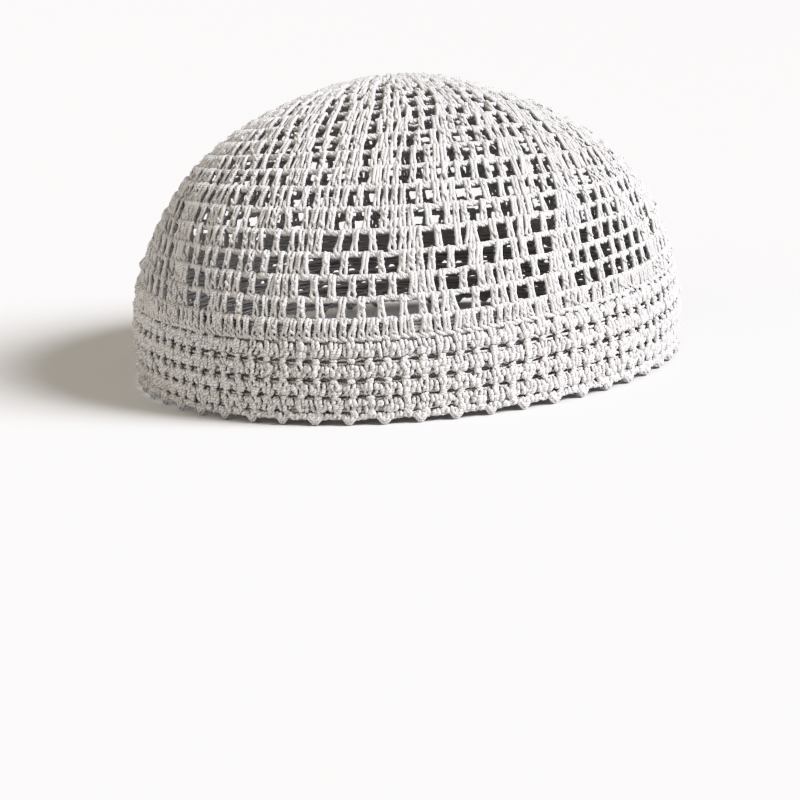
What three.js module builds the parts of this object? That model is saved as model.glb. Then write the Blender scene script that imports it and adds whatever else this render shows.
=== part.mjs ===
// Crocheted kufi: a brimless round skull cap of white cotton thread.
// Millimetres, +Z up, the front of the cap faces -Y. The cap stands on the tips
// of its picots in the plane Z = 0, and its origin is the middle of that plane.
// Three stacked pieces, each one hollow wall: the open-meshed crown, the dense
// band under it, and the picot edging that hems the band.
import * as THREE from 'three';
import { mergeVertices } from 'three/addons/utils/BufferGeometryUtils.js';

// ---- driving sizes ----------------------------------------------------------
const LENGTH_OVER_WIDTH = 1.08;   // the plan is a mild oval, longer from front to back
const RIM_HEIGHT = 1.8;           // height of the mean lower edge above the picot tips
const GAP = 0.3;                  // left between neighbouring pieces

const CROWN_WALL = 2.0;           // wall of open mesh
const CROWN_BASE = 32.4;          // where the open mesh begins
const CROWN_SIDES = 90;
const CROWN_STEPS = 12;           // rings from the base to the pole

const BAND_WALL = 2.4;            // wall of dense stitches
const BAND_BASE = 5.1;
const BAND_SIDES = 90;
const BAND_STEPS = 4;

const PICOTS = 54;                // round the whole edge, about 10.6 mm apart
const EDGE_TOP = BAND_BASE - GAP;

// The meridian: how far the middle of the wall is from the middle of the rim,
// at an angle above the rim plane. The side swells a little above the edge and
// the top is a low, even dome.
const MERIDIAN = [
  { angle: 0, reach: 89.9 },
  { angle: 12, reach: 92.4 },
  { angle: 25, reach: 94.1 },
  { angle: 40, reach: 94.7 },
  { angle: 55, reach: 93.4 },
  { angle: 70, reach: 91.7 },
  { angle: 80, reach: 91.5 },
  { angle: 90, reach: 91.5 },
];

// Soft dents (negative) and swells of the cloth: where they sit round the cap
// and above the rim plane, how far they spread (degrees), and how deep they go.
const DENTS = [
  { around: 45, up: 30, spreadAround: 30, spreadUp: 14, depth: -0.9 },
  { around: 45, up: 55, spreadAround: 32, spreadUp: 16, depth: -0.4 },
  { around: 225, up: 30, spreadAround: 30, spreadUp: 12, depth: 0.3 },
  { around: 225, up: 62, spreadAround: 34, spreadUp: 18, depth: -1.0 },
];

// One picot and the edge up to the next, in even steps: the height of the
// underside above the picot tips, and the thickness of the wall there.
const PICOT_STEPS = [
  { underside: 0.0, wall: 3.0 },
  { underside: 0.0, wall: 3.0 },
  { underside: 1.9, wall: 2.6 },
  { underside: 2.4, wall: 2.4 },
  { underside: 2.4, wall: 2.4 },
  { underside: 1.9, wall: 2.6 },
];
const PICOT_TURN = 2;             // steps that the ring of picots is turned by, clockwise from above

// ---- the wall's shape ---------------------------------------------------------
const RAD = Math.PI / 180;

// Smooth curve through the MERIDIAN table; level at the pole.
function reachAt(angle) {
  const t = MERIDIAN;
  const last = t.length - 1;
  const slope = (i) => {
    if (i === 0) return (t[1].reach - t[0].reach) / (t[1].angle - t[0].angle);
    if (i === last) return 0;
    return (t[i + 1].reach - t[i - 1].reach) / (t[i + 1].angle - t[i - 1].angle);
  };
  const a = Math.min(Math.max(angle, t[0].angle), t[last].angle);
  let i = 0;
  while (i < last - 1 && a > t[i + 1].angle) i += 1;
  const h = t[i + 1].angle - t[i].angle;
  const s = (a - t[i].angle) / h;
  const s2 = s * s;
  const s3 = s2 * s;
  return (2 * s3 - 3 * s2 + 1) * t[i].reach + (s3 - 2 * s2 + s) * h * slope(i)
    + (3 * s2 - 2 * s3) * t[i + 1].reach + (s3 - s2) * h * slope(i + 1);
}

// Middle of the wall in the meridian plane: radius and height over the rim.
function middle(angle) {
  const reach = reachAt(angle);
  return new THREE.Vector2(reach * Math.cos(angle * RAD), reach * Math.sin(angle * RAD));
}

// The same point moved square to the wall by `out` (positive is outwards).
function offset(angle, out) {
  const step = 0.05;
  const low = middle(angle - (angle > step ? step : 0));
  const high = middle(Math.min(angle + step, 90));
  const along = high.sub(low).normalize();
  return middle(angle).add(new THREE.Vector2(along.y, -along.x).multiplyScalar(out));
}

// Angle at which the middle of the wall is `height` above the picot tips.
function angleAtHeight(height) {
  let low = 0;
  let high = 90;
  for (let i = 0; i < 50; i += 1) {
    const mid = (low + high) / 2;
    if (middle(mid).y + RIM_HEIGHT < height) low = mid; else high = mid;
  }
  return (low + high) / 2;
}

// Dents and the oval plan, for a point given by radius, height and direction.
function place(radius, height, around) {
  const h = height - RIM_HEIGHT;
  const up = Math.atan2(h, radius) / RAD;
  let push = 0;
  for (const d of DENTS) {
    let turn = Math.abs(around / RAD - d.around) % 360;
    if (turn > 180) turn = 360 - turn;
    push += d.depth * Math.exp(-((turn / d.spreadAround) ** 2) - (((up - d.up) / d.spreadUp) ** 2));
  }
  // Below the mesh the cloth is stiff, and at the pole every direction meets.
  const fade = Math.min(Math.max((up - 12) / 10, 0), 1) * Math.min((90 - up) / 8, 1);
  const k = 1 + (push * Math.max(fade, 0)) / Math.hypot(radius, h);
  const long = Math.sqrt(LENGTH_OVER_WIDTH);
  return new THREE.Vector3(
    (radius * k * Math.cos(around)) / long,
    radius * k * Math.sin(around) * long,
    RIM_HEIGHT + h * k,
  );
}

// ---- turning a closed profile into a wall -------------------------------------
// The profile holds (radius, height) points, and starts and ends either on the
// axis or on the same point. `edit` may move a point once its direction is known.
function wall(profile, sides, edit) {
  const lathe = new THREE.LatheGeometry(profile, sides);
  lathe.deleteAttribute('normal');
  lathe.deleteAttribute('uv');
  const columns = profile.length;
  const pos = lathe.getAttribute('position');
  for (let i = 0; i < pos.count; i += 1) {
    const side = Math.floor(i / columns) % sides;
    const around = (side / sides) * 2 * Math.PI;
    const p = profile[i % columns].clone();
    if (edit) edit(p, i % columns, side);
    const v = place(p.x < 1e-6 ? 0 : p.x, p.y, p.x < 1e-6 ? 0 : around);
    pos.setXYZ(i, v.x, v.y, v.z);
  }
  const merged = mergeVertices(lathe, 1e-4);
  const index = merged.getIndex().array;
  const at = merged.getAttribute('position');
  const kept = [];
  let volume = 0;
  const [a, b, c] = [new THREE.Vector3(), new THREE.Vector3(), new THREE.Vector3()];
  for (let i = 0; i < index.length; i += 3) {
    const [p, q, r] = [index[i], index[i + 1], index[i + 2]];
    if (p === q || q === r || p === r) continue;
    kept.push(p, q, r);
    a.fromBufferAttribute(at, p);
    b.fromBufferAttribute(at, q);
    c.fromBufferAttribute(at, r);
    volume += a.dot(b.cross(c));
  }
  if (volume < 0) {
    for (let i = 0; i < kept.length; i += 3) [kept[i + 1], kept[i + 2]] = [kept[i + 2], kept[i + 1]];
  }
  const solid = new THREE.BufferGeometry();
  solid.setAttribute('position', at);
  solid.setIndex(kept);
  solid.computeVertexNormals();
  return solid;
}

// ---- crown: a dome of open mesh ---------------------------------------------
function crownGeometry() {
  const start = angleAtHeight(CROWN_BASE);
  const half = CROWN_WALL / 2;
  const outside = [];
  const inside = [];
  for (let i = 0; i <= CROWN_STEPS; i += 1) {
    const angle = start + ((90 - start) * i) / CROWN_STEPS;
    for (const [side, out] of [[outside, half], [inside, -half]]) {
      const p = i === 0
        ? middle(angle).add(new THREE.Vector2(out, 0))
        : offset(angle, out);
      if (i === CROWN_STEPS) p.x = 0;
      side.push(new THREE.Vector2(p.x, p.y + RIM_HEIGHT));
    }
  }
  // From the pole down the inside, round the lower edge, and up the outside.
  return wall([...inside.reverse(), ...outside], CROWN_SIDES);
}

// ---- band: the stiff wall under the mesh --------------------------------------
function bandGeometry() {
  const low = BAND_BASE;
  const high = CROWN_BASE - GAP;
  const half = BAND_WALL / 2;
  const rows = [];
  for (let i = 0; i <= BAND_STEPS; i += 1) {
    const height = low + ((high - low) * i) / BAND_STEPS;
    rows.push(new THREE.Vector2(middle(angleAtHeight(height)).x, height));
  }
  const outside = rows.map((p) => new THREE.Vector2(p.x + half, p.y));
  const inside = rows.map((p) => new THREE.Vector2(p.x - half, p.y));
  const profile = [...outside, ...inside.reverse()];
  profile.push(profile[0].clone());
  return wall(profile, BAND_SIDES);
}

// ---- picot edging: the hem that the cap stands on -----------------------------
function edgingGeometry() {
  const steps = PICOT_STEPS.length;
  const radius = middle(0).x;
  const top = middle(angleAtHeight(EDGE_TOP)).x;
  const profile = [
    new THREE.Vector2(radius + 1, 0),
    new THREE.Vector2(top + 1, EDGE_TOP),
    new THREE.Vector2(top - 1, EDGE_TOP),
    new THREE.Vector2(radius - 1, 0),
  ];
  profile.push(profile[0].clone());
  return wall(profile, PICOTS * steps, (p, column, side) => {
    const step = PICOT_STEPS[(side + PICOT_TURN) % steps];
    const outer = column === 0 || column === 1 || column === 4;
    const lower = column === 0 || column === 3 || column === 4;
    p.x = (lower ? radius : top) + ((outer ? 1 : -1) * step.wall) / 2;
    if (lower) p.y = step.underside;
  });
}

// ---- the cap ------------------------------------------------------------------
function piece(name, geometry, color, roughness) {
  const material = new THREE.MeshStandardMaterial({ color, roughness, metalness: 0 });
  const mesh = new THREE.Mesh(geometry, material);
  mesh.name = name;
  return mesh;
}

const kufi = new THREE.Group();
kufi.add(piece('crown', crownGeometry(), 0xf1eff0, 0.82));
kufi.add(piece('band', bandGeometry(), 0xeeebec, 0.85));
kufi.add(piece('picot_edging', edgingGeometry(), 0xf0eded, 0.85));

export default kufi;
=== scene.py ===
import math

import bpy
import numpy as np
from mathutils import Matrix, Vector


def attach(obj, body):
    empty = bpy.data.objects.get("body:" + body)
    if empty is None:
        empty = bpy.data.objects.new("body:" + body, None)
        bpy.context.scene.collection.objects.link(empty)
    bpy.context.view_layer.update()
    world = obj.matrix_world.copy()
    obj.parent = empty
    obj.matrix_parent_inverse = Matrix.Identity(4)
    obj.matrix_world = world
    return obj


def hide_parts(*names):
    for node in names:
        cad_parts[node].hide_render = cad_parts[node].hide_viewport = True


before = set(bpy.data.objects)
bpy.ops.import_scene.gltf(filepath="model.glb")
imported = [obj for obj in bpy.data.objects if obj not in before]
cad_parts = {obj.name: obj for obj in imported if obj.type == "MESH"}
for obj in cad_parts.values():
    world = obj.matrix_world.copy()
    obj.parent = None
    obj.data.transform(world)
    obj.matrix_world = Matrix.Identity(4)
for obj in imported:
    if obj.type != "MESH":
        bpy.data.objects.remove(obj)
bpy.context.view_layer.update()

MM = 0.001
RNG = np.random.default_rng(20)
D2R = math.pi / 180.0

# ---------------------------------------------------------------- the wall's middle surface, in mm
# angle above the rim plane (degrees) and distance from the middle of the rim plane (mm)
WALL_ANGLE = np.array([0.0, 12, 25, 40, 55, 70, 80, 90])
WALL_REACH = np.array([89.9, 92.4, 94.1, 94.7, 93.4, 91.7, 91.5, 91.5])
# around, up, spread around, spread up (degrees), depth (mm, outward positive)
DENTS = [
    (45, 30, 30, 14, -0.9),
    (45, 55, 32, 16, -0.4),
    (225, 30, 30, 12, 0.3),
    (225, 62, 34, 18, -1.0),
]
RIM_HEIGHT = 1.8
OVAL = math.sqrt(1.08)
VIEW_SIDE = 135.0  # plan angle of the side that the pattern's table is measured from


def reach(a):
    """Distance from the middle of the rim plane to the wall at an angle above that plane."""
    t, y = WALL_ANGLE, WALL_REACH
    m = np.r_[(y[1] - y[0]) / (t[1] - t[0]), (y[2:] - y[:-2]) / (t[2:] - t[:-2]), 0.0]
    low = a < 0
    c = np.clip(a, 0, 90)
    i = np.clip(np.searchsorted(t, c, side="right") - 1, 0, len(t) - 2)
    h = t[i + 1] - t[i]
    s = (c - t[i]) / h
    out = (
        (2 * s**3 - 3 * s**2 + 1) * y[i]
        + (s**3 - 2 * s * s + s) * h * m[i]
        + (3 * s * s - 2 * s**3) * y[i + 1]
        + (s**3 - s * s) * h * m[i + 1]
    )
    return np.where(low, y[0] + m[0] * a, out)


def surface(q):
    """Point of the wall for a place on the flat map of the dome: q is (90 - angle above the rim) as a vector in plan."""
    p = np.hypot(q[..., 0], q[..., 1])
    th = np.arctan2(q[..., 1], q[..., 0])
    a = 90.0 - p
    r0 = reach(a)
    r = r0 * np.cos(a * D2R)
    h = r0 * np.sin(a * D2R)
    push = np.zeros_like(r)
    for around, up, wide, tall, depth in DENTS:
        turn = np.abs(th / D2R - around) % 360.0
        turn = np.where(turn > 180, 360 - turn, turn)
        push = push + depth * np.exp(-((turn / wide) ** 2) - ((up - a) / tall) ** 2)
    push = push * np.clip((a - 12) / 10, 0, 1) * np.clip((90 - a) / 8, 0, 1)
    k = 1 + push / np.hypot(r, h)
    return np.stack(
        [r * k * np.cos(th) / OVAL, r * k * np.sin(th) * OVAL, RIM_HEIGHT + h * k], -1
    )


def normal(q):
    """Outward normal of the wall."""
    e = 0.2
    dx = surface(q + [e, 0]) - surface(q - [e, 0])
    dy = surface(q + [0, e]) - surface(q - [0, e])
    n = np.cross(dx, dy)
    n /= np.linalg.norm(n, axis=-1, keepdims=True)
    out = np.sum(n * (surface(q) - [0, 0, RIM_HEIGHT]), -1, keepdims=True)
    return n * np.sign(out)


# ---------------------------------------------------------------- where the rounds run
STEP = 0.5
U = np.arange(0, 360, STEP)
_a = np.linspace(30, 90, 2401)
_R = reach(_a) * np.cos(_a * D2R)
POLE_WAY = np.array(
    [math.cos(315 * D2R) - 0.23 * math.cos(225 * D2R), math.sin(315 * D2R) - 0.23 * math.sin(225 * D2R)]
)


def wall_level(front, side, back, turn, stretch, lean):
    m = turn + U + stretch / D2R * np.sin((U + turn) * D2R)
    c = np.cos(m * D2R)
    a = (
        (front + 2 * side + back) / 4
        + (front - back) / 2 * c
        + (front - 2 * side + back) / 4 * np.cos(2 * m * D2R)
        + lean * np.sin(m * D2R)
    )
    th = (VIEW_SIDE + m) * D2R
    return np.stack([(90 - a) * np.cos(th), (90 - a) * np.sin(th)], -1)


def top_level(rho, turn, stretch, shift):
    f = (VIEW_SIDE + turn + U + stretch / D2R * np.sin((U + turn) * D2R)) * D2R
    x = shift * POLE_WAY[0] + rho * np.cos(f)
    y = shift * POLE_WAY[1] + rho * np.sin(f)
    R = np.hypot(x, y)
    a = np.interp(-R, -_R, _a)
    th = np.arctan2(y, x)
    return np.stack([(90 - a) * np.cos(th), (90 - a) * np.sin(th)], -1)


# level, angle above the rim at the front / side / back of the pattern, turn, stretch, lean
LOW_LEVELS = [
    (-5.6, -1.3, -1.3, -1.3, -9.0, 0.0, 0.0),
    (-5.1, 0.0, 0.0, 0.0, -9.0, 0.0, 0.0),
    (-4.5, 2.0, 2.0, 2.0, -9.0, 0.0, 0.0),
    (-3.5, 5.4, 5.7, 5.4, -9.0, 0.0, 0.1),
    (-2.5, 8.7, 9.3, 8.8, -9.0, 0.0, 0.4),
    (-1.5, 12.1, 13.4, 12.3, -9.0, 0.0, 0.6),
    (-0.5, 15.1, 17.0, 15.3, -9.0, -0.01, 0.6),
    (0.5, 18.3, 20.6, 18.3, -8.9, -0.02, 0.5),
    (1.0, 20.3, 22.6, 20.0, -8.9, -0.025, 0.5),
    (2.0, 24.1, 26.4, 23.3, -8.9, -0.03, 0.3),
    (3.0, 28.2, 29.8, 26.7, -8.8, -0.03, 0.1),
    (4.0, 32.4, 32.9, 30.0, -8.5, -0.017, 0.0),
    (5.0, 36.7, 36.1, 33.3, -8.3, -0.006, -0.3),
    (6.0, 41.2, 39.5, 36.7, -8.1, 0.003, -0.6),
    (7.0, 45.7, 43.0, 40.0, -7.6, 0.008, -0.9),
]
# level, radius of the round (mm, in plan), turn, stretch, shift of its middle (mm)
TOP_LEVELS = [
    (8.0, 64.4, -6.1, -0.01, 4.6),
    (9.0, 59.5, -5.6, -0.01, 5.9),
    (10.0, 54.5, -4.7, 0.0, 7.3),
    (11.0, 48.6, -3.9, 0.03, 8.6),
    (12.0, 43.3, -3.1, 0.05, 9.8),
    (13.0, 37.3, -3.7, 0.02, 10.8),
    (14.0, 31.5, -3.5, 0.0, 11.3),
    (15.0, 25.7, -3.5, 0.0, 11.6),
    (16.0, 19.9, -3.5, 0.0, 11.8),
    (17.0, 14.1, -3.5, 0.0, 11.9),
    (18.0, 8.6, -3.5, 0.0, 12.0),
    (18.5, 5.6, -3.5, 0.0, 12.0),
    (19.0, 3.6, -3.5, 0.0, 12.0),
]
LOWER = 0.35  # degrees that the mesh rounds sit under the middle of their holes
LEVELS = np.array([r[0] for r in LOW_LEVELS] + [r[0] for r in TOP_LEVELS])
GRID = np.array([wall_level(*r[1:]) for r in LOW_LEVELS] + [top_level(*r[1:]) for r in TOP_LEVELS])
_p = np.linalg.norm(GRID, axis=-1, keepdims=True)
_k = np.clip((LEVELS + 0.5) / 2.0, 0, 1) * np.clip((18.0 - LEVELS) / 3.0, 0, 1)
GRID = GRID * (_p + LOWER * _k[:, None, None]) / _p
# the slot rows hang a little lower round the middle of the pattern (degrees, at each level)
SAG = {-0.5: 0.15, -1.5: 1.2, -2.5: 1.3, -3.5: 1.15, -4.5: 0.75, -5.1: 0.05}
_w = (U - 6.0 + 180.0) % 360.0 - 180.0
_w = np.exp(-((_w / 48.0) ** 2))
_s = np.interp(LEVELS, sorted(SAG), [SAG[v] for v in sorted(SAG)]) * (LEVELS < 0.4) * (LEVELS > -5.5)
_p = np.linalg.norm(GRID, axis=-1, keepdims=True)
GRID = GRID * (_p + (_s[:, None] * _w[None, :])[..., None]) / _p


def at(v, u):
    """Place on the flat map for level v (round number) and angle u round the pattern (degrees)."""
    v, u = np.broadcast_arrays(np.asarray(v, float), np.asarray(u, float))
    i = np.clip(np.searchsorted(LEVELS, v, side="right") - 1, 0, len(LEVELS) - 2)
    t = ((v - LEVELS[i]) / (LEVELS[i + 1] - LEVELS[i]))[..., None]
    x = (u % 360) / STEP
    j = np.floor(x).astype(int) % len(U)
    s = (x - np.floor(x))[..., None]
    k = (j + 1) % len(U)
    lo = GRID[i, j] * (1 - s) + GRID[i, k] * s
    hi = GRID[i + 1, j] * (1 - s) + GRID[i + 1, k] * s
    return lo * (1 - t) + hi * t


# ---------------------------------------------------------------- the pattern's chart, a sixth of each round
# W: that many open meshes in a row (2 units each); n: that many solid units in a row
CHART = {
    1: "W7 n3 W2 n2 W2 n3",
    2: "W6 n3 W2 n4 W2 n3",
    3: "W5 n3 W2 n1 W2 n1 W2 n3",
    4: "W4 n3 W2 n2 W2 n2 W2 n3",
    5: "W3 n3 W2 n2 W3 n2 W2 n3",
    6: "W2 n3 W2 n2 W4 n2 W2 n3",
    7: "W1 n3 W2 n2 W5 n2 W2 n3",
    8: "W1 n3 W2 n2 W4 n3 W2 n3",
    9: "W1 n3 W2 n2 W3 n2 W2 n3",
    10: "W1 n3 W2 n2 W2 n2 W2 n3",
    11: "W1 n3 W2 n2 W1 n2 W2 n3",
    12: "W1 n2 W2 n4 W2 n2",
    13: "W1 n2 W2 n2 W2 n2",
    14: "W1 n2 W1 n2 W1 n2",
    15: "W1 n3 W1 n2",
    16: "n7",
    17: "n5",
    18: "n3",
}
REPEATS = 6


def posts_of(row):
    """Angles of the upright stitches of a round, and the width of a unit in degrees."""
    parts = CHART[row].split()
    total = sum(int(p[1:]) * (2 if p[0] == "W" else 1) for p in parts)
    place = -float(parts[0][1:]) if parts[0][0] == "W" else 0.0
    out = []
    for p in parts:
        size = 2.0 if p[0] == "W" else 1.0
        for _ in range(int(p[1:])):
            out.append(place)
            place += size
    unit = 360.0 / REPEATS / total
    one = np.array(out) * unit
    return np.concatenate([one + 60 * k for k in range(REPEATS)]) % 360, unit


# ---------------------------------------------------------------- thread as tubes
class Threads:
    """Collects tubes of thread and makes one mesh of them."""

    def __init__(self):
        self.verts, self.faces, self.caps, self.tubes = [], [], [], []
        self.count = 0
        self.tri = 0

    def add(self, path, radius, up, sides=5, closed=False):
        """path (n, m, 3): n tubes of m points each, in mm; radius a number or (n, m); up (n, 3) or (n, m, 3): a way that the rings are lined up by."""
        n, m, _ = path.shape
        rad = np.broadcast_to(np.asarray(radius, float), (n, m))
        if closed:
            tang = np.roll(path, -1, 1) - np.roll(path, 1, 1)
        else:
            tang = np.gradient(path, axis=1)
        tang = tang / (np.linalg.norm(tang, axis=-1, keepdims=True) + 1e-9)
        ref = up[:, None, :] if up.ndim == 2 else up
        side = np.cross(tang, ref)
        side /= np.linalg.norm(side, axis=-1, keepdims=True) + 1e-9
        out = np.cross(side, tang)
        ang = np.arange(sides) * 2 * np.pi / sides
        ring = (
            side[:, :, None, :] * np.cos(ang)[:, None] + out[:, :, None, :] * np.sin(ang)[:, None]
        ) * rad[:, :, None, None]
        v = path[:, :, None, :] + ring
        base = self.count
        self.verts.append(v.reshape(-1, 3))
        idx = base + np.arange(n * m * sides).reshape(n, m, sides)
        nxt = np.roll(idx, -1, 1) if closed else idx[:, 1:]
        cur = idx if closed else idx[:, :-1]
        a, b = cur, nxt
        quad = np.stack([a, np.roll(a, -1, 2), np.roll(b, -1, 2), b], -1)
        self.faces.append(quad.reshape(-1, 4))
        length = np.linalg.norm(np.diff(path, axis=1), axis=-1)
        along = np.concatenate([np.zeros((n, 1)), np.cumsum(length, 1)], 1)
        if closed:
            last = np.linalg.norm(path[:, 0] - path[:, -1], axis=-1)
            along = np.concatenate([along, along[:, -1:] + last[:, None]], 1)
        self.tubes.append((n, m, sides, closed, along, rad))
        if not closed:
            self.caps.append(idx[:, 0, ::-1])
            self.caps.append(idx[:, -1])
        self.count += n * m * sides
        self.tri += quad.reshape(-1, 4).shape[0] * 2
        if not closed:
            self.tri += 2 * n * (sides - 2)

    def build(self, name, material, nodes):
        verts = np.concatenate(self.verts) * MM
        quads = np.concatenate(self.faces)
        caps = [c for c in self.caps]
        me = bpy.data.meshes.new(name)
        loops = [quads.reshape(-1)] + [c.reshape(-1) for c in caps]
        sizes = [np.full(len(quads), 4)] + [np.full(len(c), c.shape[1]) for c in caps]
        loops = np.concatenate(loops)
        sizes = np.concatenate(sizes)
        me.vertices.add(len(verts))
        me.vertices.foreach_set("co", verts.astype(np.float32).ravel())
        me.loops.add(len(loops))
        me.loops.foreach_set("vertex_index", loops.astype(np.int32))
        me.polygons.add(len(sizes))
        starts = np.concatenate([[0], np.cumsum(sizes)[:-1]])
        me.polygons.foreach_set("loop_start", starts.astype(np.int32))
        me.polygons.foreach_set("loop_total", sizes.astype(np.int32))
        me.polygons.foreach_set("use_smooth", np.ones(len(sizes), bool))
        # thread map: u goes once round the thread, v is the length along it in units of 4 mm
        uv, tone = [], []
        for n, m, s, closed, along, rad in self.tubes:
            k = m if closed else m - 1
            a0 = along[:, :k, None] * np.ones((1, 1, s)) / 4.0
            a1 = along[:, 1 : k + 1, None] * np.ones((1, 1, s)) / 4.0
            u0 = (np.arange(s) / s)[None, None, :] * np.ones((n, k, 1))
            u1 = u0 + 1.0 / s
            f = np.stack(
                [np.stack([u0, a0], -1), np.stack([u1, a0], -1), np.stack([u1, a1], -1), np.stack([u0, a1], -1)],
                -2,
            )
            uv.append(f.reshape(-1, 2))
            t = RNG.random((n, 1)) * np.ones((1, m * s))
            tone.append(t.reshape(-1))
        for c in caps:
            uv.append(np.zeros((c.size, 2)))
        layer = me.uv_layers.new(name="Thread")
        layer.data.foreach_set("uv", np.concatenate(uv).astype(np.float32).ravel())
        att = me.attributes.new("tone", "FLOAT", "POINT")
        att.data.foreach_set("value", np.concatenate(tone).astype(np.float32))
        me.update(calc_edges=True)
        me.validate()
        me.materials.append(material)
        obj = bpy.data.objects.new(name, me)
        bpy.context.scene.collection.objects.link(obj)
        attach(obj, "root")
        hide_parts(*nodes)
        print("PIECE", name, "triangles", self.tri)
        return obj


# ---------------------------------------------------------------- materials
def cotton(name, tint, warm, rough=0.62):
    mat = bpy.data.materials.new(name)
    mat.use_nodes = True
    nt = mat.node_tree
    nt.nodes.clear()
    N, L = nt.nodes.new, nt.links.new
    out = N("ShaderNodeOutputMaterial")
    bsdf = N("ShaderNodeBsdfPrincipled")
    L(bsdf.outputs["BSDF"], out.inputs["Surface"])
    bsdf.inputs["Sheen Weight"].default_value = 0.25
    bsdf.inputs["Sheen Roughness"].default_value = 0.45
    bsdf.inputs["IOR"].default_value = 1.46
    co = N("ShaderNodeTexCoord")
    # broad tone, and the small tone of each thread
    big = N("ShaderNodeTexNoise")
    big.inputs["Scale"].default_value = 28.0
    big.inputs["Detail"].default_value = 3.0
    L(co.outputs["Object"], big.inputs["Vector"])
    mix = N("ShaderNodeMix")
    mix.data_type = "RGBA"
    mix.inputs["A"].default_value = (*tint, 1)
    mix.inputs["B"].default_value = (*warm, 1)
    L(big.outputs["Fac"], mix.inputs["Factor"])
    tone = N("ShaderNodeAttribute")
    tone.attribute_name = "tone"
    rng = N("ShaderNodeMapRange")
    rng.inputs["To Min"].default_value = 0.93
    rng.inputs["To Max"].default_value = 1.0
    L(tone.outputs["Fac"], rng.inputs["Value"])
    mul = N("ShaderNodeMix")
    mul.data_type = "RGBA"
    mul.blend_type = "MULTIPLY"
    mul.inputs["Factor"].default_value = 1.0
    L(mix.outputs["Result"], mul.inputs["A"])
    L(rng.outputs["Result"], mul.inputs["B"])
    # ply twist of the thread: three plies laid round it, in slanted ridges, used for the bump and for painted shade in
    # the base colour between the plies
    uv = N("ShaderNodeUVMap")
    uv.uv_map = "Thread"
    sep = N("ShaderNodeSeparateXYZ")
    L(uv.outputs["UV"], sep.inputs["Vector"])
    around = N("ShaderNodeMath")
    around.operation = "MULTIPLY"
    around.inputs[1].default_value = 3.0
    L(sep.outputs["X"], around.inputs[0])
    along = N("ShaderNodeMath")
    along.operation = "MULTIPLY_ADD"
    along.inputs[1].default_value = 5.0
    L(sep.outputs["Y"], along.inputs[0])
    L(around.outputs["Value"], along.inputs[2])
    turn = N("ShaderNodeMath")
    turn.operation = "MULTIPLY"
    turn.inputs[1].default_value = 2 * math.pi
    L(along.outputs["Value"], turn.inputs[0])
    wave = N("ShaderNodeMath")
    wave.operation = "SINE"
    L(turn.outputs["Value"], wave.inputs[0])
    ply = N("ShaderNodeMapRange")
    ply.inputs["From Min"].default_value = -1.0
    ply.inputs["From Max"].default_value = 1.0
    L(wave.outputs["Value"], ply.inputs["Value"])
    # painted shade: the base colour is darkened to 0.72 of itself in the grooves between the plies
    ply_groove_painted_shade = N("ShaderNodeMapRange")
    ply_groove_painted_shade.inputs["From Min"].default_value = 0.0
    ply_groove_painted_shade.inputs["From Max"].default_value = 0.5
    ply_groove_painted_shade.inputs["To Min"].default_value = 0.72
    ply_groove_painted_shade.inputs["To Max"].default_value = 1.0
    L(ply.outputs["Result"], ply_groove_painted_shade.inputs["Value"])
    # multiplies the painted groove shade into the base colour
    shade = N("ShaderNodeMix")
    shade.data_type = "RGBA"
    shade.blend_type = "MULTIPLY"
    shade.inputs["Factor"].default_value = 1.0
    L(mul.outputs["Result"], shade.inputs["A"])
    L(ply_groove_painted_shade.outputs["Result"], shade.inputs["B"])
    L(shade.outputs["Result"], bsdf.inputs["Base Color"])
    # fibres
    fib = N("ShaderNodeTexNoise")
    fib.inputs["Scale"].default_value = 2600.0
    fib.inputs["Detail"].default_value = 2.0
    L(co.outputs["Object"], fib.inputs["Vector"])
    add = N("ShaderNodeMath")
    add.operation = "MULTIPLY_ADD"
    add.inputs[1].default_value = 0.5
    L(fib.outputs["Fac"], add.inputs[0])
    L(ply.outputs["Result"], add.inputs[2])
    bump = N("ShaderNodeBump")
    bump.inputs["Strength"].default_value = 0.7
    bump.inputs["Distance"].default_value = 0.00016
    L(add.outputs["Value"], bump.inputs["Height"])
    L(bump.outputs["Normal"], bsdf.inputs["Normal"])
    rr = N("ShaderNodeMapRange")
    rr.inputs["To Min"].default_value = rough - 0.08
    rr.inputs["To Max"].default_value = rough + 0.12
    L(fib.outputs["Fac"], rr.inputs["Value"])
    L(rr.outputs["Result"], bsdf.inputs["Roughness"])
    return mat


MESH = cotton("mesh_cotton_thread", (0.735, 0.728, 0.74), (0.745, 0.732, 0.715))
BAND = cotton("band_cotton_thread", (0.73, 0.72, 0.73), (0.74, 0.726, 0.705))
EDGE = cotton("edging_cotton_thread", (0.735, 0.728, 0.735), (0.745, 0.732, 0.715))

# ---------------------------------------------------------------- stitches
# x along the round, y up from the lower round, z outward, in mm, for a round 6.5 mm tall
LEFT = np.array(
    [
        (0.1, 7.0, -0.45), (-0.5, 7.0, 0.55), (-0.64, 6.1, 1.02), (-0.52, 4.8, 0.7), (-0.5, 3.4, 0.5),
        (-0.68, 2.3, 0.4), (-0.9, 1.4, 0.3), (-0.5, 0.65, 0.3), (0.7, 0.05, 0.35), (1.7, -0.3, 0.2),
    ]
)
RIGHT = np.array(
    [
        (0.4, 7.0, -0.45), (0.55, 6.95, 0.55), (0.64, 6.1, 1.02), (0.52, 4.8, 0.72), (0.5, 3.4, 0.6),
        (0.66, 2.3, 0.45), (0.9, 1.4, 0.2), (0.6, 0.6, -0.2), (-0.3, 0.3, -0.4), (-1.4, 0.1, -0.2),
    ]
)
WRAP_HIGH = np.array([(-1.02, 5.95, 0.15), (-0.5, 5.45, 1.3), (0.5, 4.65, 1.3), (1.02, 4.15, 0.15)])
WRAP_LOW = np.array([(-1.0, 3.75, 0.1), (-0.5, 3.3, 1.12), (0.5, 2.5, 1.12), (1.02, 2.0, 0.1)])
TALL = 6.5


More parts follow.
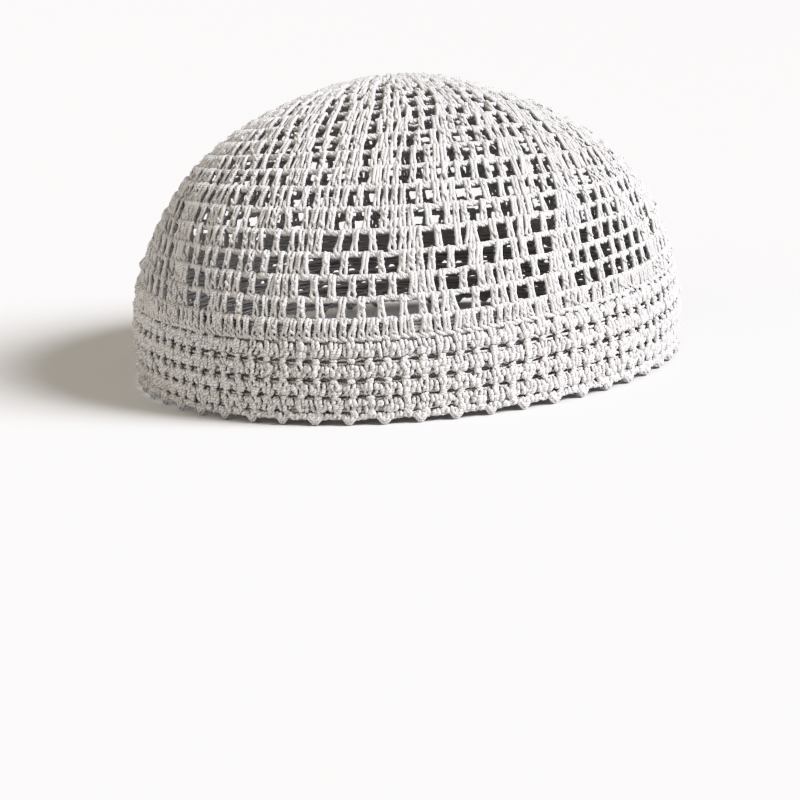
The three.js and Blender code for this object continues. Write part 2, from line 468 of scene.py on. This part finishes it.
def frames(v0, v1, u):
    """Foot, height, and the three ways (along, up, out) for stitches from level v0 to v1 at angles u."""
    foot, head = surface(at(v0, u)), surface(at(v1, u))
    up = head - foot
    tall = np.linalg.norm(up, axis=-1, keepdims=True)
    up = up / tall
    n = normal(at((v0 + v1) / 2, u))
    along = np.cross(up, n)
    along /= np.linalg.norm(along, axis=-1, keepdims=True)
    return foot, tall, along, up, np.cross(along, up)


def lay(template, foot, tall, along, up, out, wide, lean, shift, depth):
    """The template's strand at each stitch."""
    if template.ndim == 2:
        template = template[None]
    x = template[..., 0] * wide[:, None] + shift[:, None] + lean[:, None] * template[..., 1] / TALL
    y = template[..., 1] * tall / TALL
    z = template[..., 2] + depth[:, None]
    return (
        foot[:, None, :]
        + along[:, None, :] * x[..., None]
        + up[:, None, :] * y[..., None]
        + out[:, None, :] * z[..., None]
    )


def add_posts(threads, v0, v1, u, unit_mm, radius=0.64, jitter=1.0, full=1.0):
    n = len(u)
    foot, tall, along, up, out = frames(v0, v1, u)
    wide = 0.9 * np.clip(unit_mm / 2.95, 0.8, 1.05) * np.clip(1 + 0.1 * RNG.standard_normal(n), 0.8, 1.25)
    lean = RNG.normal(0, 0.42, n) * jitter
    shift = RNG.normal(0, 0.2, n) * jitter
    depth = RNG.normal(0, 0.08, n)
    r = radius * full * np.clip(unit_mm / 2.95, 0.85, 1.0) * np.clip(1 + 0.07 * RNG.standard_normal(n), 0.85, 1.15)
    turn = RNG.normal(0.1, 0.32, n)
    for tpl, thick, sides in ((LEFT, 1.0, 5), (RIGHT, 1.0, 5), (WRAP_HIGH, 0.74, 4), (WRAP_LOW, 0.72, 4)):
        wob = RNG.normal(0, 0.06, (n, len(tpl), 3))
        # the pair of strands is turned about the stitch's own middle, more towards its top
        k = np.clip((tpl[:, 1] - 2.2) / 3.0, 0, 1) * np.clip((7.4 - tpl[:, 1]) / 0.9, 0, 1)
        ang = turn[:, None] * k[None, :]
        x, z = tpl[None, :, 0], tpl[None, :, 2] - 0.6 * k[None, :]
        t = np.stack(
            [x * np.cos(ang) - z * np.sin(ang), np.broadcast_to(tpl[None, :, 1], ang.shape), x * np.sin(ang) + z * np.cos(ang) + 0.6 * k[None, :]],
            -1,
        )
        path = lay(t, foot, tall, along, up, out, wide, lean, shift, depth) + wob
        if sides == 4:  # the wraps sit at uneven heights, some sunk between the strands
            path = path + up[:, None, :] * RNG.normal(0, 0.5, (n, 1, 1)) + out[:, None, :] * RNG.normal(-0.22, 0.25, (n, 1, 1))
        threads.add(path, (r * thick)[:, None], out, sides=sides)


def smooth_noise(n, waves, seed_rng):
    """A periodic noise of about unit size, n samples."""
    t = np.arange(n) / n * 2 * np.pi
    total = np.zeros(n)
    for _ in range(24):
        f = seed_rng.integers(max(1, int(waves * 0.3)), int(waves) + 2)
        total += np.sin(f * t + seed_rng.random() * 6.283) / math.sqrt(12)
    return total


def add_round(threads, v, thick=0.58, lay_mm=6.0, per_turn=6, strands=3, spread=0.5, rise=0.0, wobble=0.16, sink=0.0):
    """A twisted round at level v: strands wound round each other along the level."""
    ring = surface(at(v, U))
    length = np.linalg.norm(np.roll(ring, -1, 0) - ring, axis=-1).sum()
    turns = max(3, int(round(length / lay_mm)))
    m = turns * per_turn
    # even spacing along the round
    seg = np.linalg.norm(np.roll(ring, -1, 0) - ring, axis=-1)
    s = np.concatenate([[0], np.cumsum(seg)])
    u = np.interp(np.arange(m) / m * s[-1], s, np.append(U, 360.0))
    q = at(v, u)
    p, n = surface(q), normal(q)
    t = np.roll(p, -1, 0) - np.roll(p, 1, 0)
    t /= np.linalg.norm(t, axis=-1, keepdims=True)
    up = np.cross(n, t)
    up *= np.sign(up[:, 2:3] + 1e-9) if v < 15 else 1.0
    dy = smooth_noise(m, length / 7, RNG) * wobble + rise
    dz = smooth_noise(m, length / 9, RNG) * 0.1 - sink
    start = RNG.random() * 6.283
    paths = []
    for k in range(strands):
        ph = 2 * np.pi * (np.arange(m) / per_turn + k / strands) + start
        ph = ph + 0.35 * smooth_noise(m, length / 6, RNG)
        paths.append(
            p + up * (dy + spread * np.cos(ph))[:, None] + n * (dz + spread * 0.85 * np.sin(ph))[:, None]
        )
    path = np.stack(paths)
    threads.add(path, thick, np.stack([n] * strands), closed=True)


def unit_length(v, unit):
    ring = surface(at(v, U))
    length = np.linalg.norm(np.roll(ring, -1, 0) - ring, axis=-1).sum()
    return length * unit / 360.0


def crown_piece(name, rows, rounds):
    th = Threads()
    for row in rows:
        u, unit = posts_of(row)
        add_posts(th, row - 0.5, row + 0.5, u, unit_length(row, unit), full=float(np.interp(row, [4, 9, 13, 17], [1.02, 1.12, 1.22, 1.35])))
    for v in rounds:
        add_round(th, v, lay_mm=6.0 if v < 15 else 4.5)
    return th.build(name, MESH, ["crown"])


crown_piece("crown_rounds_low", [1, 2, 3, 4], [0.5, 1.5, 2.5, 3.5])
crown_piece("crown_rounds_middle", [5, 6, 7, 8], [4.5, 5.5, 6.5, 7.5])
crown_piece("crown_rounds_high", [9, 10, 11, 12], [8.5, 9.5, 10.5, 11.5])
crown_piece("crown_rounds_top", [13, 14, 15, 16, 17, 18], [12.5, 13.5, 14.5, 15.5, 16.5, 17.5, 18.5, 18.95])

# ---------------------------------------------------------------- the band
# a short stitch: two strands side by side; x, y, z in mm for a stitch of about 2.4 mm
SHORT_L = np.array([(-0.4, 2.45, 0.1), (-0.62, 1.95, 0.36), (-0.68, 1.2, 0.42), (-0.58, 0.5, 0.36), (-0.36, -0.05, 0.05)])
SHORT_R = np.array([(0.4, 2.45, 0.05), (0.62, 1.95, 0.34), (0.68, 1.2, 0.43), (0.56, 0.5, 0.38), (0.3, -0.05, 0.0)])
PLUMP = np.array([0.54, 0.76, 0.82, 0.76, 0.52])
SHORT_TALL = 2.4
PAIRS = 108


SLOT_WIDE = 0.29  # half width of a slot, in parts of the distance between slots
SLOT_RNG = np.random.default_rng(5)


def slot_rounds(threads, v, mean_open):
    """The two strands that bow apart round each small slot of a slot row."""
    per = 8
    m = PAIRS * per
    u = np.arange(m) / m * 360.0
    q = at(v, u)
    p, n = surface(q), normal(q)
    t = np.roll(p, -1, 0) - np.roll(p, 1, 0)
    t /= np.linalg.norm(t, axis=-1, keepdims=True)
    up = np.cross(n, t)
    up *= np.sign(up[:, 2:3])
    open_by = np.repeat(np.clip(SLOT_RNG.normal(mean_open, 0.35, PAIRS), 0.1, 1.5), per)
    cyc = (np.arange(m) / per) % 1.0
    peak = np.repeat(0.5 + SLOT_RNG.normal(0, 0.06, PAIRS), per)
    tent = np.clip(1 - np.abs(cyc - peak) / SLOT_WIDE, 0, 1) ** 0.7
    wob = smooth_noise(m, 60, RNG) * 0.13
    sunk = -0.5 * np.clip(1 - tent * 2.0, 0, 1)
    hi = p + up * (0.34 + open_by * tent + wob)[:, None] + n * (-0.35 + sunk + 0.15 * smooth_noise(m, 80, RNG))[:, None]
    lo = p - up * (0.62 + 0.2 * open_by * tent - wob)[:, None] + n * (-0.45 + sunk + 0.15 * smooth_noise(m, 80, RNG))[:, None]
    threads.add(np.stack([hi, lo]), 0.46, np.stack([n, n]), closed=True)
    # the back loop of the course below, on the inner side of the wall just under the slots
    j = slice(0, m, 4)
    back = p[j] - n[j] * (1.9 + 0.1 * smooth_noise(m, 60, RNG)[j])[:, None]
    back[:, 2] += -0.3 + 0.12 * smooth_noise(m, 60, RNG)[j]
    threads.add(back[None], 0.62, n[None, j], sides=5, closed=True)
    # the short bars that close the row between one slot and the next
    k = np.arange(PAIRS) * 360.0 / PAIRS
    foot, tall, along, up, out = frames(v - 0.2, v + 0.2, k)
    x = np.array([-1.0, -0.4, 0.35, 1.0])
    for rise in (0.32, -0.3):
        y = 0.5 * tall + rise + RNG.normal(0, 0.15, (PAIRS, 1)) + RNG.normal(0.15, 0.3, (PAIRS, 1)) * x
        z = np.array([0.1, 0.5, 0.55, 0.1]) + RNG.normal(0, 0.12, (PAIRS, 1))
        path = (
            foot[:, None, :]
            + along[:, None, :] * (x * np.ones((PAIRS, 1)) + RNG.normal(0, 0.12, (PAIRS, 1)))[..., None]
            + up[:, None, :] * y[..., None]
            + out[:, None, :] * z[..., None]
        )
        threads.add(path, np.array([0.45, 0.66, 0.66, 0.45]) * np.clip(1 + 0.1 * RNG.standard_normal((PAIRS, 1)), 0.8, 1.2), out)


def add_knobs(threads, v0, v1, u, slant, pull):
    """A row of small knobs, each of two plump strands that slant the same way; pull moves the feet, in mm."""
    n = len(u)
    foot, tall, along, up, out = frames(v0, v1, u)
    scale = np.clip(1 + 0.12 * RNG.standard_normal(n), 0.75, 1.3)
    shift = pull + RNG.normal(0, 0.15, n)
    lean = slant + RNG.normal(0, 0.4, n) - pull
    depth = RNG.normal(0, 0.1, n)
    lift = RNG.normal(0, 0.14, n)
    big = np.clip(1 + 0.1 * RNG.standard_normal(n), 0.8, 1.25)
    for tpl in (SHORT_L, SHORT_R):
        high = tpl[:, 1] / SHORT_TALL
        bow = RNG.normal(0, 0.2, n)[:, None] * np.sin(np.clip(high, 0, 1) * np.pi)
        x = tpl[:, 0] * scale[:, None] + shift[:, None] + lean[:, None] * (high - 0.5) + bow
        y = high * tall * (1 + 0.08 * RNG.standard_normal((n, 1))) + lift[:, None]
        z = tpl[:, 2] + depth[:, None] + RNG.normal(0, 0.14, (n, 1))
        path = (
            foot[:, None, :]
            + along[:, None, :] * x[..., None]
            + up[:, None, :] * y[..., None]
            + out[:, None, :] * z[..., None]
        )
        path = path + RNG.normal(0, 0.09, (n, len(tpl), 3))
        rad = (big * np.clip(1 + 0.1 * RNG.standard_normal(n), 0.8, 1.2))[:, None] * PLUMP
        threads.add(path, rad, out)


def lining(threads, v0, v1, count):
    """The back loops of the dense courses: plain strands that run round just inside the knobs."""
    m = 162
    u = np.arange(m) / m * 360.0
    for v in np.linspace(v0, v1, count):
        q = at(v, u)
        p, n = surface(q), normal(q)
        dz = -0.68 + 0.12 * smooth_noise(m, 70, RNG)
        wave = smooth_noise(m, 70, RNG) * 0.16
        path = p + n * dz[:, None]
        path[:, 2] += wave
        threads.add(path[None], 0.6, n[None], sides=4, closed=True)


def band_course(threads, top, bottom, over=0.24, under=0.17):
    """One course between two slot rows: two staggered rows of knobs over their back loops; over and under: how far they stop short of the slots."""
    tall = top - bottom
    mid = bottom + 0.5 * tall
    k = np.arange(2 * PAIRS) * 180.0 / PAIRS
    quarter = 45.0 / PAIRS * 2
    gather = np.where(np.arange(2 * PAIRS) % 2 == 0, -1.0, 1.0)
    under_slot = np.arange(2 * PAIRS) % 2 == 1
    head = top - np.where(under_slot, over, 0.1)
    add_knobs(threads, bottom + under, mid + 0.05, k + quarter, 0.4, 0.42 * gather)
    add_knobs(threads, mid - 0.05, head, k, -0.4, np.zeros(2 * PAIRS))
    lining(threads, bottom + 0.24, top - 0.28, 3)


upper = Threads()
u0 = np.arange(216) * 360.0 / 216
add_posts(upper, -0.5, 0.5, u0, unit_length(0.0, 360.0 / 216), jitter=1.3, full=1.12)
lining(upper, -0.62, 0.42, 6)
add_round(upper, -0.5, thick=0.52, lay_mm=5.5, per_turn=6, strands=2, spread=0.45)
band_course(upper, -0.5, -1.5)
upper.build("band_upper_course", BAND, ["band"])
middle = Threads()
slot_rounds(middle, -1.5, 0.9)
band_course(middle, -1.5, -2.5)
slot_rounds(middle, -2.5, 1.15)
band_course(middle, -2.5, -3.5, under=0.12)
middle.build("band_middle_courses", BAND, ["band"])
lower = Threads()
slot_rounds(lower, -3.5, 0.5)
band_course(lower, -3.5, -4.5, over=0.18, under=0.08)
slot_rounds(lower, -4.5, 0.25)
lower.build("band_lower_course", BAND, ["band"])

# ---------------------------------------------------------------- the edging
PICOTS = 54
edge = Threads()
ek = np.arange(PICOTS * 4) * 360.0 / (PICOTS * 4)
add_knobs(edge, -4.98, -4.56, ek, 0.3, np.full(PICOTS * 4, 0.2))
lining(edge, -4.88, -4.7, 2)
add_round(edge, -4.92, thick=0.6, lay_mm=5.0, per_turn=5, strands=2, spread=0.35, rise=0.0, wobble=0.15)


def picots(threads):
    """Small solid knots along the edge: a lump with two strands laid over it."""
    th = ((6 * np.arange(PICOTS) - 1.5) / 324.0) * 2 * np.pi
    q = np.stack([90.0 * np.cos(th), 90.0 * np.sin(th)], -1)
    p, n = surface(q), normal(q)
    n[:, 2] = 0
    n /= np.linalg.norm(n, axis=-1, keepdims=True)
    down = np.tile([0.0, 0.0, -1.0], (PICOTS, 1))
    along = np.cross(-down, n)
    size = np.clip(1 + 0.08 * RNG.standard_normal(PICOTS), 0.85, 1.15)

    def put(x, y, z, radius, sides):
        # the lowest point of each strand stays on the plane that the cap rests on
        y = np.minimum(y, RIM_HEIGHT - radius)
        path = (
            p[:, None, :]
            + along[:, None, :] * (x * size[:, None])[..., None]
            + down[:, None, :] * (y * np.ones((PICOTS, 1)))[..., None]
            + n[:, None, :] * (z * np.ones((PICOTS, 1)))[..., None]
        )
        threads.add(path, radius * np.ones((PICOTS, 1)), n, sides=sides)

    x = np.array([-1.7, -1.3, -0.7, 0.0, 0.7, 1.3, 1.7])
    put(x, -0.25 - 0.25 * x * x / 2.9, 0.2 + 0.0 * x, np.array([0.35, 0.75, 1.1, 1.3, 1.1, 0.75, 0.35]), 8)
    x = np.array([-2.5, -1.95, -1.3, -0.5, 0.5, 1.3, 1.95, 2.5])
    y = np.array([-1.5, -0.75, 0.15, 1.1, 1.1, 0.15, -0.75, -1.5])
    put(x, y, np.array([0.3, 0.6, 0.8, 0.75, 0.75, 0.8, 0.6, 0.3]), np.full(8, 0.56), 5)
    x = np.array([-1.5, -0.85, 0.0, 0.85, 1.5])
    put(x, np.array([-1.3, -0.35, 0.5, -0.35, -1.3]), 1.35 - 0.25 * x * x, np.full(5, 0.54), 5)


picots(edge)
edge.build("edging_round", EDGE, ["picot_edging"])

# ---------------------------------------------------------------- floor, light and camera
bpy.ops.mesh.primitive_circle_add(vertices=96, radius=16.0, fill_type="NGON", location=(0, 0, 0))
floor = bpy.context.object
floor.name = "floor"
fm = bpy.data.materials.new("floor_pale")
fm.use_nodes = True
fb = fm.node_tree.nodes["Principled BSDF"]
fb.inputs["Roughness"].default_value = 0.9
fb.inputs["Base Color"].default_value = (0.77, 0.77, 0.77, 1)
floor.data.materials.append(fm)

world = bpy.data.worlds.new("soft_room")
world.use_nodes = True
bg = world.node_tree.nodes["Background"]
bg.inputs["Color"].default_value = (1.0, 0.94, 0.84, 1)
bg.inputs["Strength"].default_value = 0.26
bpy.context.scene.world = world

CAM = np.array([-420.4, 420.4, 133.0]) * MM
FORWARD = np.array([0.6915, -0.6806, -0.2423])
FORWARD /= np.linalg.norm(FORWARD)
UP = np.array([0.1344, -0.2084, 0.9688])
RIGHTWARD = np.cross(FORWARD, UP)
RIGHTWARD /= np.linalg.norm(RIGHTWARD)
UP = np.cross(RIGHTWARD, FORWARD)
cam_data = bpy.data.cameras.new("camera")
cam = bpy.data.objects.new("camera", cam_data)
bpy.context.scene.collection.objects.link(cam)
m = Matrix.Identity(4)
for i in range(3):
    m[i][0], m[i][1], m[i][2], m[i][3] = RIGHTWARD[i], UP[i], -FORWARD[i], CAM[i]
cam.matrix_world = m
cam_data.sensor_width = 36.0
cam_data.lens = 80.19
cam_data.clip_start = 0.01
cam_data.clip_end = 100.0
bpy.context.scene.camera = cam


def sun(name, towards, strength, angle, color=(1, 1, 1)):
    """A soft light that shines along towards."""
    d = bpy.data.lights.new(name, "SUN")
    d.energy = strength
    d.angle = angle
    d.color = color
    o = bpy.data.objects.new(name, d)
    bpy.context.scene.collection.objects.link(o)
    o.rotation_euler = Vector(towards).to_track_quat("-Z", "Y").to_euler()
    return o


key_from = RIGHTWARD * 0.98 + np.array([0, 0, 1.0]) * 0.64 - FORWARD * 0.36
sun("key", -key_from, 3.85, 0.5, (0.965, 0.955, 1.0))
fill_from = -RIGHTWARD * 0.75 + np.array([0, 0, 1.0]) * 0.25 - FORWARD * 0.75
sun("fill", -fill_from, 0.8, 1.4, (1.0, 0.96, 0.9))
rear_from = -RIGHTWARD * 0.6 + np.array([0, 0, 1.0]) * 0.5 + FORWARD * 0.7
sun("rear", -rear_from, 0.55, 1.4, (1.0, 0.98, 0.96))

scene = bpy.context.scene
scene.view_settings.view_transform = "Standard"
scene.view_settings.look = "None"
scene.view_settings.exposure = 0.0
# a contrast curve like the photograph's: whites near clipping, deep shade
scene.view_settings.use_curve_mapping = True
tone_map = scene.view_settings.curve_mapping
tone_map.extend = "HORIZONTAL"
for x, y in ((0.1, 0.045), (0.24, 0.19), (0.42, 0.47), (0.62, 0.77), (0.86, 0.985)):
    tone_map.curves[3].points.new(x, y)
tone_map.update()
